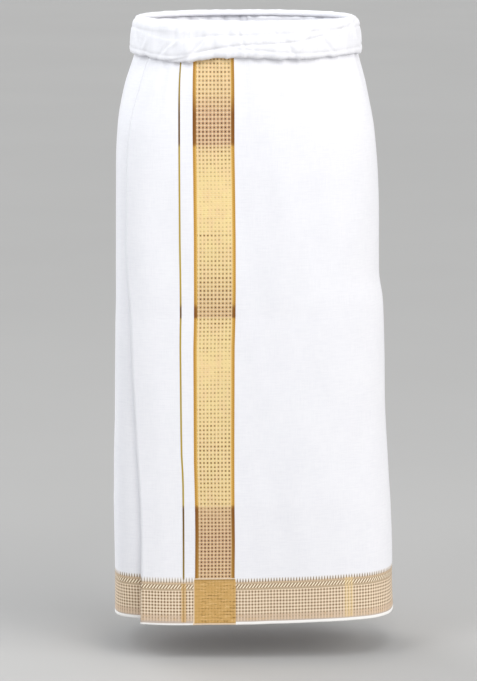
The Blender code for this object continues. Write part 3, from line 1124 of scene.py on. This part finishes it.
def woven_border(finish, cotton):
    """The border along the hem, zone over zone from the selvedge to the comb's tips."""
    along, up = finish.along, finish.up
    past_band = along.rises(*BAND_PASSED)
    ribs = finish.stripes(along, RIB_PITCH)
    rows = finish.stripes(up, DOT_PITCH_UP, DOT_ROW_AT)
    uneven = finish.unevenness(*BORDER_PATCH_SIZE)
    dots = (ribs + rows + (uneven - 0.5) * DOTS_VARY).rises(*DOT_SPAN)
    lattice = (1.0 - abs(ribs - rows) / LATTICE_WIDTH).held() * LATTICE_SHARE
    border = finish.mixed(RIB_TAN, RIB_CREAM, (-ribs).rises(*RIB_SPAN))
    border = finish.mixed(border, BORDER_GOLD, uneven.rises(*GOLD_SPAN) * GOLD_SHARE)
    ground = finish.mixed(TAN, CREAM, (-(ribs + rows)).rises(*GROUND_SPAN))
    ground = finish.mixed(ground, STROKE_BROWN, lattice * (ribs + rows).rises(*LATTICE_SPAN))
    border = finish.mixed(border, ground, up.rises(RIBS_TOP - RIBS_END_OVER, RIBS_TOP))
    dots_shown = up.rises(SELVEDGE_RIGHT + DOTS_BEGIN_ABOVE, RIBS_TOP + DOTS_BEGIN_ABOVE)
    dots_shown = dots_shown * (1.0 - past_band * DOTS_PALER)
    border = finish.mixed(border, DOT_BROWN, dots * dots_shown)
    border = finish.mixed(border, LINE_TAN, up.above(DOTS_TOP))
    slant = finish.stripes(along - up * STROKE_SLANT, STROKE_PITCH)
    strokes = finish.mixed(STROKE_BROWN, STROKE_WHITE, slant.rises(*STROKE_SPAN))
    border = finish.mixed(border, strokes, up.within(FINE_LINE_TOP, STROKES_TOP))

    # The comb is woven longer before the band than past it
    stretch = 1.0 + (1.0 - past_band) * COMB_LONGER
    comb_up = (up - UPPER_LINE_TOP) / stretch + UPPER_LINE_TOP
    up_the_teeth = comb_up.rises(COMB_FOOT_TOP, COMB_TOP)
    comb = finish.mixed(cotton, COMB_CREAM, (1.0 - up_the_teeth) * COMB_TINT)
    comb = finish.mixed(comb, TAN, 1.0 - comb_up.rises(*COMB_FOOT_SPAN))
    teeth = finish.stripes(along, TOOTH_PITCH) - up_the_teeth * TEETH_NARROW
    fading = 1.0 - comb_up.rises(COMB_FOOT_TOP + TEETH_FADE_ABOVE, COMB_TOP)
    fading = fading * up.rises(UPPER_LINE_TOP + WOVEN_EDGE, COMB_FOOT_TOP)
    fading = fading * (TEETH_SHARE + past_band * TEETH_DARKER)
    comb = finish.mixed(comb, TICK_BROWN, teeth.rises(*TEETH_SPAN) * fading)
    border = finish.mixed(border, comb, up.above(UPPER_LINE_TOP))

    # A painted highlight: a gold streak down the border below the comb, where its zari catches the
    # light, with fine lines in it
    painted_glint = along.within(PAINTED_GLINT_AT - PAINTED_GLINT_HALF, PAINTED_GLINT_AT + PAINTED_GLINT_HALF, PAINTED_GLINT_SOFT)
    below_comb = 1.0 - up.rises(COMB_FOOT_TOP, COMB_FOOT_TOP + PAINTED_GLINT_ENDS_OVER)
    lines = finish.stripes(along, PAINTED_GLINT_PITCH, PAINTED_GLINT_AT).rises(*PAINTED_GLINT_SPAN)
    painted_glint = painted_glint * below_comb * (PAINTED_GLINT_SHARE + lines * PAINTED_GLINT_LINES_SHARE)
    border = finish.mixed(border, PAINTED_GLINT_GOLD, painted_glint)
    border = finish.mixed(border, FOOT_GREY, (1.0 - up.rises(*FOOT_SPAN)) * FOOT_SHARE)
    selvedge = SELVEDGE_LEFT + past_band * (SELVEDGE_RIGHT - SELVEDGE_LEFT)
    above_selvedge = (up - selvedge) / SELVEDGE_SOFT
    return finish.mixed(SELVEDGE_WHITE, border, above_selvedge.held()), dots


# The band
BAND_THREAD_SIZE = (0.0200, 0.0042)
BAND_FLECK_SIZE = (0.0042, 0.0042)
PINK_SIZE = (0.0120, 0.0300)
THREADS_SHOW = 1.1
FLECKS_SHOW = 0.9
MARKED_AT_LEFT = 1.15
MARKED_LOSES = 0.9
PINK_SPAN = (0.42, 0.72)
PINK_SHARE = 0.10
# The pink shows more where the zari is painted shining: painted reflection
PINK_WITH_PAINTED_SHINE = 0.40
PICK_SPAN = (-0.2, 1.0)
PICK_SHARE = 0.12
PICK_VARIES = 0.40
SPECK_SPAN = (0.5, 1.4)
SPECK_SHARE = 0.50
# The cream specks fade where the zari is painted shining: painted reflection
SPECK_LOSES_TO_PAINTED_SHINE = 0.10
NET_WIDTH = 0.9
NET_SHARE = 0.66
BAND_DOT_SPAN = (0.75, 1.60)
BAND_DOT_SHARE = 0.94
FLECK_SLANT = 0.5
FLECK_SHARE = 0.30
INNER_EDGE_FROM = 0.0026
INNER_EDGE_SHARE = 0.12
# How much more the pale inner line shows where the edge lines are painted lit: painted highlight
INNER_EDGE_PAINTED_LIT = 0.78
BAND_EDGE_SOFT = 0.0006


def woven_band(finish, painted_shine, inside, across):
    """The dotted zari of the upright band, between its two edge lines."""
    up = finish.up
    columns = finish.stripes(across, 1.0 / BAND_COLUMNS, BAND_COLUMN_AT)
    drifted = up + finish.by_height(BAND_ROW_DRIFT) * BAND_ROW_PITCH
    upper = up.rises(PITCH_CHANGES_AT, PITCH_CHANGES_AT + WOVEN_EDGE)
    rows = finish.stripes(drifted, BAND_ROW_PITCH) * upper
    rows = rows + finish.stripes(up, LOW_ROW_PITCH, LOW_ROW_AT) * (1.0 - upper)
    uneven = finish.unevenness(*BAND_THREAD_SIZE)
    flecked = finish.unevenness(*BAND_FLECK_SIZE)
    # How much the dots show: faded where the painted shine washes them out, a painted reflection,
    # with uneven threads and marked rows
    shown = finish.by_height(BAND_DOTS_LEFT_BY_PAINTED_GLARE) + (uneven - 0.5) * THREADS_SHOW
    shown = shown + (flecked - 0.5) * FLECKS_SHOW
    shown = shown + finish.by_height(MARKED_ROWS) * (MARKED_AT_LEFT - across * MARKED_LOSES)

    # The ground is painted between a shaded and a lit copy of the zari by the painted shine:
    # painted reflection and painted shade
    ground = finish.mixed(BAND_PAINTED_SHADE, BAND_PAINTED_LIT, painted_shine)
    pink = finish.unevenness(*PINK_SIZE).rises(*PINK_SPAN) * (PINK_SHARE + painted_shine * PINK_WITH_PAINTED_SHINE)
    ground = finish.mixed(ground, BAND_PINK, pink)
    picks = finish.stripes(drifted, BAND_ROW_PITCH / 2.0).rises(*PICK_SPAN)
    ground = finish.mixed(ground, BAND_PICK, picks * (PICK_SHARE + uneven * PICK_VARIES))
    centres = (-(columns + rows)).rises(*SPECK_SPAN)
    specks = centres * shown.held() * (SPECK_SHARE - painted_shine * SPECK_LOSES_TO_PAINTED_SHINE)
    ground = finish.mixed(ground, BAND_SPECK, specks)

    net = (1.0 - abs(columns - rows) / NET_WIDTH).held() * (1.0 - centres)
    dots = ((columns + rows).rises(*BAND_DOT_SPAN) + net * NET_SHARE).held()
    # The dots are painted lit or shaded by the painted shine as well
    dot = finish.mixed(BAND_DOT_PAINTED_SHADE, BAND_DOT_PAINTED_LIT, painted_shine)
    band = finish.mixed(ground, dot, (dots * shown).held() * BAND_DOT_SHARE)

    # The edge lines are painted lit or shaded up the height, and their pale inner line is painted
    # brighter where lit: painted reflection and painted shade. The flecks take the dark edge
    # colour
    painted_lit = finish.by_height(EDGE_LINES_PAINTED_LIT)
    edge = finish.mixed(BAND_EDGE_PAINTED_SHADE_AND_FLECKS, BAND_EDGE_PAINTED_LIT, painted_lit)
    flecks = finish.stripes(up + finish.along * FLECK_SLANT, BAND_ROW_PITCH / 2.0)
    edge = finish.mixed(edge, BAND_EDGE_PAINTED_SHADE_AND_FLECKS, flecks.rises(*PICK_SPAN) * FLECK_SHARE)
    inner = inside.rises(INNER_EDGE_FROM, BAND_EDGE) * (INNER_EDGE_SHARE + painted_lit * INNER_EDGE_PAINTED_LIT)
    edge = finish.mixed(edge, BAND_EDGE_INNER, inner)
    edge_line = 1.0 - inside.rises(BAND_EDGE - BAND_EDGE_SOFT, BAND_EDGE)
    return finish.mixed(band, edge, edge_line), dots, painted_lit


# The square of solid zari
WORN_THIN_SIZE = (0.0032, 0.0022)
SQUARE_PATCH_SIZE = (0.0160, 0.0070)
LONG_PICK_SIZE = (0.0120, 0.0019)
SQUARE_ROW_AT = 0.0010
SQUARE_ROWS = 0.60
SQUARE_COLUMNS = 0.32
STREAKS_VARY = 4.0
DARK_VARIES = 3.6
DARK_PATCHES_VARY = 3.0
DARK_SPAN = (0.25, 1.60)
DARK_SHARE = 0.76
PALE_VARIES = 3.2
PALE_BETWEEN_PICKS = 0.7
PALE_SPAN = (0.15, 1.20)
PALE_SHARE = 0.60
PLAIN_SIDE = (-0.0245, -0.0190)
PLAIN_SHARE = 0.6
DARK_PICK = (0.0028, 0.0040)
DARK_PICK_SHARE = 0.6
DARK_TOP_OVER = 0.0050
DARK_TOP_SHARE = 0.50
CREAM_FOOT = (0.0024, 0.0030)
CREAM_SIDE = (-0.0325, -0.0310)
CREAM_SHARE = 0.75


def gold_square(finish):
    """The solid zari where the band crosses the border, in uneven picks."""
    along, up = finish.along, finish.up
    worn_thin = finish.unevenness(*WORN_THIN_SIZE) - 0.5
    patches = finish.unevenness(*SQUARE_PATCH_SIZE) - 0.5
    streaks = (finish.unevenness(*LONG_PICK_SIZE) - 0.5) * STREAKS_VARY
    picks = finish.stripes(up, DOT_PITCH_UP, SQUARE_ROW_AT) * SQUARE_ROWS
    picks = picks + finish.stripes(along, DOT_PITCH) * SQUARE_COLUMNS
    dark = picks + worn_thin * DARK_VARIES + patches * DARK_PATCHES_VARY + streaks
    pale = worn_thin * PALE_VARIES - picks * PALE_BETWEEN_PICKS - streaks
    square = finish.mixed(BORDER_GOLD, BORDER_GOLD_DARK, dark.rises(*DARK_SPAN) * DARK_SHARE)
    square = finish.mixed(square, BORDER_GOLD_PALE, pale.rises(*PALE_SPAN) * PALE_SHARE)
    square = finish.mixed(square, BORDER_GOLD, (1.0 - along.rises(*PLAIN_SIDE)) * PLAIN_SHARE)
    square = finish.mixed(square, BORDER_GOLD_DARK, up.within(*DARK_PICK) * DARK_PICK_SHARE)
    dark_top = up.rises(SQUARE_TOP - DARK_TOP_OVER, SQUARE_TOP) * DARK_TOP_SHARE
    square = finish.mixed(square, BORDER_GOLD_DARK, dark_top)
    cream_sides = (1.0 - up.rises(*CREAM_FOOT)) + (1.0 - along.rises(*CREAM_SIDE))
    cream_line = (cream_sides + up.above(SQUARE_TOP)).held()
    return finish.mixed(square, CREAM, cream_line * CREAM_SHARE)


# The stripe, the soft patches in the zari's painted shine, and how the zari shines and stands a
# little proud of the cotton
PAINTED_SHINE_SIZE = (0.030, 0.012)
PAINTED_SHINE_VARIES = 0.30
SQUARE_ENDS_ABOVE = 0.0018
STRIPE_SPAN = (STRIPE_HALF - 0.0002, STRIPE_HALF + 0.0004)
STRIPE_BEGINS_OVER = 0.004
CROSSING_SPAN = (0.0030, 0.0044)
CROSSING_SHARE = 0.62
THREAD_SPAN = (0.0004, 0.0014)
THREAD_SHARE = 0.55
ZARI_IN_BORDER = 0.5
ZARI_SMOOTHER = 0.34
ZARI_METALLIC = 0.10
THREADS_STAND = 0.5
ZARI_STANDS = 0.8
BORDER_DOTS_SINK = 0.6
BAND_DOTS_SINK = 0.5
ZARI_RELIEF = 0.00018


def bordered_cotton():
    """The hanging cloth's finish: white cotton, the zari border along the hem and the band."""
    finish = Finish("white_cotton_with_zari")
    along, up = finish.along, finish.up
    cotton, threads = cotton_weave(finish)
    surface, dots = woven_border(finish, cotton)
    border_rows = up.within(SELVEDGE_RIGHT, UPPER_LINE_TOP)

    # The upright band
    # The painted shine: the zari's reflection and shade painted up its height, in soft patches
    painted_shine = finish.by_height(PAINTED_SHINE)
    painted_shine = (painted_shine + (finish.unevenness(*PAINTED_SHINE_SIZE) - 0.5) * PAINTED_SHINE_VARIES).held()
    left = finish.by_height(BAND_LEFT, BAND_REACH)
    right = finish.by_height(BAND_RIGHT, BAND_REACH)
    inside = (along + left).lesser(right - along)
    across = (along + left) / (left + right)
    in_band = inside.above(0.0)
    band, band_dots, painted_lit = woven_band(finish, painted_shine, inside, across)
    in_square = 1.0 - up.above(SQUARE_TOP + SQUARE_ENDS_ABOVE)
    band = finish.mixed(band, gold_square(finish), in_square)
    surface = finish.mixed(surface, band, in_band)

    # The thin stripe beside it, which pales where it crosses the border
    from_stripe = abs(along + finish.by_height(STRIPE_PLACES, STRIPE_REACH))
    in_stripe = 1.0 - from_stripe.rises(*STRIPE_SPAN)
    # The stripe is painted lit or shaded like the edge lines: painted reflection and painted shade
    stripe = finish.mixed(STRIPE_PAINTED_SHADE, STRIPE_PAINTED_LIT, painted_lit)
    above_border = up.rises(COMB_TOP - STRIPE_BEGINS_OVER, COMB_TOP)
    surface = finish.mixed(surface, stripe, in_stripe * above_border)
    crossing = (1.0 - from_stripe.rises(*CROSSING_SPAN)) * border_rows
    surface = finish.mixed(surface, CROSSING_GOLD, crossing * CROSSING_SHARE)
    thread = (1.0 - from_stripe.rises(*THREAD_SPAN)) * border_rows
    surface = finish.mixed(surface, CROSSING_DARK, thread * THREAD_SHARE)

    zari = (in_band + in_stripe + border_rows * ZARI_IN_BORDER).held()
    relief = threads * THREADS_STAND + zari * ZARI_STANDS
    relief = relief - dots * border_rows * BORDER_DOTS_SINK
    relief = relief - band_dots * in_band * (1.0 - in_square) * BAND_DOTS_SINK
    return finish.done(
        surface,
        COTTON_ROUGHNESS - zari * ZARI_SMOOTHER,
        relief,
        ZARI_RELIEF,
        Metallic=zari * ZARI_METALLIC,
        Sheen_Weight=0.10,
        Sheen_Roughness=SHEEN_ROUGHNESS,
    )


FLOOR_DARKER = (0.515, 0.508, 0.497)
FLOOR_PALER = (0.547, 0.540, 0.528)


def floor_finish():
    """A plain pale floor with a faint mottle."""
    finish = Finish("pale_floor")
    mottle = finish.noise(finish.add("ShaderNodeTexCoord")["Object"], scale=1.4, detail=3.0)
    return finish.done(
        finish.mixed(FLOOR_DARKER, FLOOR_PALER, mottle),
        roughness=0.9,
        height=mottle,
        depth=0.0002,
        Specular_IOR_Level=0.1,
    )


# The studio
FLOOR_Z = -0.980
FLOOR_SIZE = 160.0

CAMERA_AT = (-0.012, -5.000, 0.390)
CAMERA_DOWN = math.radians(10.0)
CAMERA_LENS = 170.54
CAMERA_SENSOR = 36.0
CAMERA_SEES = 200.0

SUNS = (
    # name, from, watts a square metre, degrees wide, colour
    ("key", (3.5, -2.1, 2.0), 1.36, 40.0, (1.00, 0.985, 0.965)),
    ("fill", (-3.4, -1.8, 1.6), 0.54, 60.0, (0.90, 0.95, 1.00)),
    ("back", (-2.8, 2.6, 2.0), 1.05, 40.0, (0.97, 0.98, 1.00)),
)
LAMPS = (
    # name, place, aimed at, size, watts, colour
    ("upper_right", (0.5, -1.4, 1.5), (0.0, -0.1, -0.10), 1.2, 13.8, (1.00, 0.99, 0.99)),
    ("upper_left", (-1.1, -1.2, 1.3), (0.0, -0.1, -0.10), 1.0, 10.0, (0.94, 0.97, 1.00)),
)
WORLD_COLOUR = (0.96, 0.98, 1.00)
WORLD_STRENGTH = 0.520


def hang_lamp(lamp, place, aim, watts, colour):
    """Puts a lamp in its place, aimed at a point."""
    lamp.energy = watts
    lamp.color = colour
    holder = bpy.data.objects.new(lamp.name, lamp)
    holder.location = place
    holder.visible_camera = False
    away = Vector(place) - Vector(aim)
    holder.rotation_euler = away.to_track_quat("Z", "Y").to_euler()
    bpy.context.scene.collection.objects.link(holder)


def set_studio():
    """The floor, the soft lamps, the pale surroundings and the camera."""
    bpy.ops.object.select_all(action="DESELECT")
    bpy.ops.mesh.primitive_plane_add(size=FLOOR_SIZE, location=(0.0, 0.0, FLOOR_Z))
    floor = bpy.context.object
    floor.name = "studio_floor"
    bpy.ops.object.transform_apply(location=True, rotation=True, scale=True)
    floor.data.materials.append(floor_finish())
    for name, place, watts, degrees, colour in SUNS:
        sun = bpy.data.lights.new(name, "SUN")
        sun.angle = math.radians(degrees)
        hang_lamp(sun, place, (0.0, 0.0, 0.0), watts, colour)
    for name, place, aim, size, watts, colour in LAMPS:
        lamp = bpy.data.lights.new(name, "AREA")
        lamp.shape = "DISK"
        lamp.size = size
        hang_lamp(lamp, place, aim, watts, colour)
    world = bpy.data.worlds.new("studio")
    world.use_nodes = True
    background = world.node_tree.nodes["Background"]
    background.inputs["Color"].default_value = (*WORLD_COLOUR, 1.0)
    background.inputs["Strength"].default_value = WORLD_STRENGTH
    bpy.context.scene.world = world
    bpy.context.scene.view_settings.view_transform = "Standard"
    camera_data = bpy.data.cameras.new("camera")
    camera_data.lens = CAMERA_LENS
    camera_data.sensor_width = CAMERA_SENSOR
    camera_data.clip_end = CAMERA_SEES
    camera = bpy.data.objects.new("camera", camera_data)
    camera.location = CAMERA_AT
    camera.rotation_euler = (math.pi / 2.0 - CAMERA_DOWN, 0.0, 0.0)
    bpy.context.scene.collection.objects.link(camera)
    bpy.context.scene.camera = camera


set_studio()

cloth = wind_cloth()
cloth.data.materials.append(bordered_cotton())
roll = roll_waist()
roll.data.materials.append(plain_cotton())

STRETCHES = (
    "front_outer",
    "right_outer",
    "back_outer",
    "left_side",
    "front_inner",
    "right_inner",
    "back_inner",
)
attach(cloth, "root")
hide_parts(*STRETCHES)
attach(roll, "root")
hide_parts("waist_roll")
